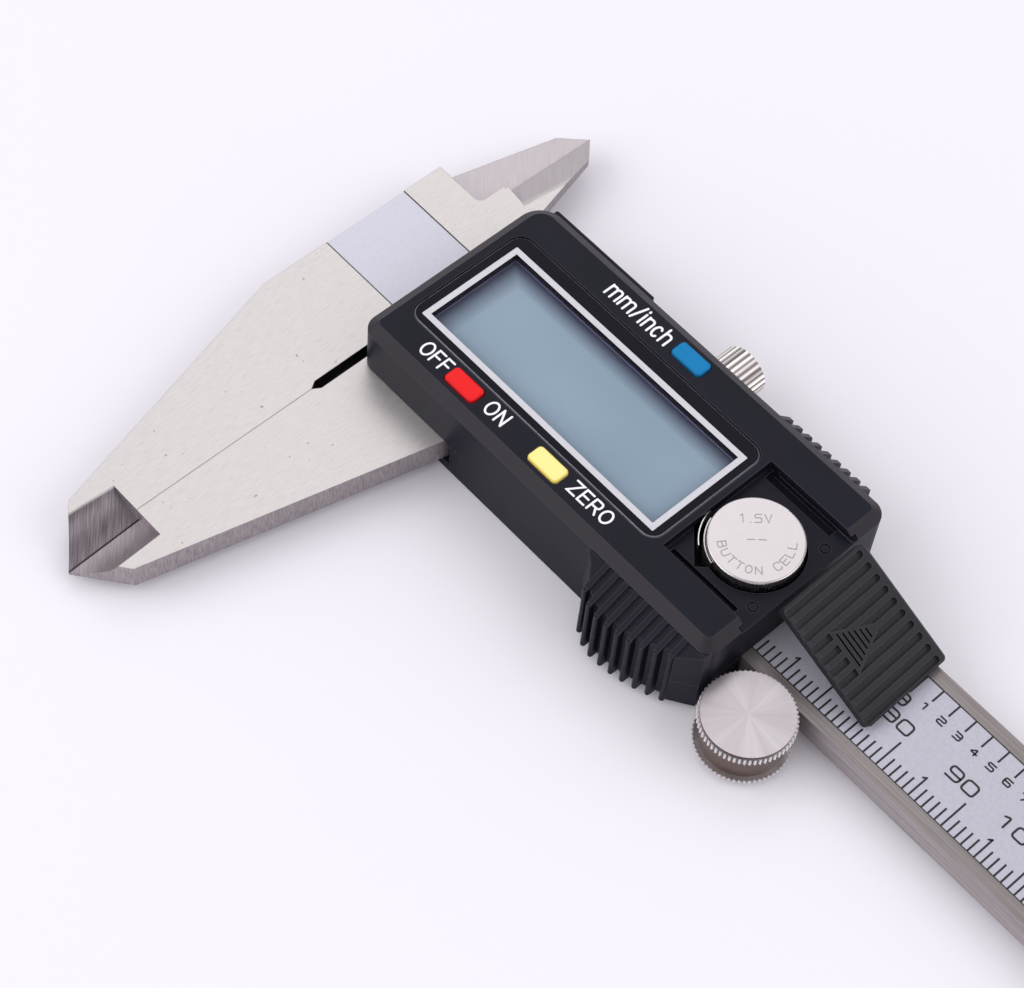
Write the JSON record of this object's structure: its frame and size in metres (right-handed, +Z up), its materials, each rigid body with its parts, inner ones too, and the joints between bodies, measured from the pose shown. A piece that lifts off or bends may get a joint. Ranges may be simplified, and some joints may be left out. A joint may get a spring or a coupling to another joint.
{
  "type": "digital caliper with depth rod",
  "caption": "Digital caliper and depth gauge: steel beam with fixed jaws, sliding jaw with display housing, depth rod, thumb roller and lock screw.",
  "frame": {"origin": "on the resting plane, below the closed outside measuring faces, at the beam's centreline", "axes": "+X along the beam towards the depth rod's tip, +Y towards the inside jaws, +Z up from the slider's back through its display"},
  "size_m": [0.2903, 0.0902, 0.0142],
  "materials": {
    "ground_steel": "stainless steel, ground across the edges",
    "spring_steel": "rolled spring steel",
    "screw_steel": "bright steel",
    "turned_steel": "turned and knurled stainless steel",
    "glass_epoxy": "glass-epoxy board",
    "label_foil": "printed foil",
    "black_abs": "moulded ABS, fine satin texture",
    "clear_acrylic": "clear polished acrylic",
    "lcd_glass": "grey-blue reflective display",
    "silicone": "moulded silicone",
    "black_resin": "cast resin",
    "gold_pads": "gold plated",
    "red_cap": "moulded gloss",
    "yellow_cap": "moulded gloss",
    "blue_cap": "moulded gloss",
    "nickel_can": "nickel-plated pressed steel"
  },
  "bodies": {
    "beam_body": {"beam": "ground_steel", "scale_strip": "glass_epoxy", "scale_label": "label_foil", "end_stop": "ground_steel", "end_stop_screws": "screw_steel"},
    "slider_body": {"sliding_jaw": "ground_steel", "gib_strip": "spring_steel", "gib_screws": "screw_steel", "depth_rod": "ground_steel", "rod_screws": "screw_steel", "rear_cover": "black_abs", "rear_cover_screws": "screw_steel", "front_housing": "black_abs", "display_window": "clear_acrylic", "lcd_panel": "lcd_glass", "zebra_strips": "silicone", "circuit_board": "glass_epoxy", "chip": "black_resin", "tact_switches": "black_resin", "contact_minus": "spring_steel", "contact_plus": "spring_steel", "port_contacts": "gold_pads", "roller_bracket": "spring_steel", "roller_axle": "screw_steel", "bracket_screw": "screw_steel"},
    "power_button_body": {"power_button": "red_cap"},
    "zero_button_body": {"zero_button": "yellow_cap"},
    "unit_button_body": {"unit_button": "blue_cap"},
    "button_cell_body": {"button_cell": "nickel_can"},
    "battery_cover_body": {"battery_cover": "black_abs"},
    "port_cover_body": {"port_cover": "black_abs"},
    "lock_screw_body": {"lock_screw": "turned_steel"},
    "thumb_roller_body": {"thumb_roller": "turned_steel"}
  },
  "joints": [
    {"name": "slider", "type": "slide", "parent": "beam_body", "child": "slider_body", "axis": [1, 0, 0], "range_m": [0, 0.2]},
    {"name": "thumb_roller", "type": "hinge", "parent": "slider_body", "child": "thumb_roller_body", "pos_m": [0.066, -0.0135, 0], "axis": [0, 0, 1], "range_deg": [0, 2163]},
    {"name": "power_button", "type": "slide", "parent": "slider_body", "child": "power_button_body", "axis": [0, 0, -1], "range_m": [0, 0.0006], "stiffness_N_per_m": 400, "springref_m": -0.0005},
    {"name": "zero_button", "type": "slide", "parent": "slider_body", "child": "zero_button_body", "axis": [0, 0, -1], "range_m": [0, 0.0006], "stiffness_N_per_m": 400, "springref_m": -0.0005},
    {"name": "unit_button", "type": "slide", "parent": "slider_body", "child": "unit_button_body", "axis": [0, 0, -1], "range_m": [0, 0.0006], "stiffness_N_per_m": 400, "springref_m": -0.0005},
    {"name": "button_cell", "type": "slide", "parent": "slider_body", "child": "button_cell_body", "axis": [0, 0, 1], "range_m": [0, 0.008]},
    {"name": "battery_cover", "type": "slide", "parent": "slider_body", "child": "battery_cover_body", "axis": [0, 0, 1], "range_m": [0, 0.02]},
    {"name": "port_cover", "type": "slide", "parent": "slider_body", "child": "port_cover_body", "axis": [1, 0, 0], "range_m": [0, 0.008]},
    {"name": "lock_screw", "type": "hinge", "parent": "slider_body", "child": "lock_screw_body", "pos_m": [0.0316, 0.018, 0.0052], "axis": [0, 1, 0], "range_deg": [0, 360]}
  ],
  "couplings": [
    {"joint": "thumb_roller", "follows": "slider", "rad_per_m": 188.68}
  ]
}
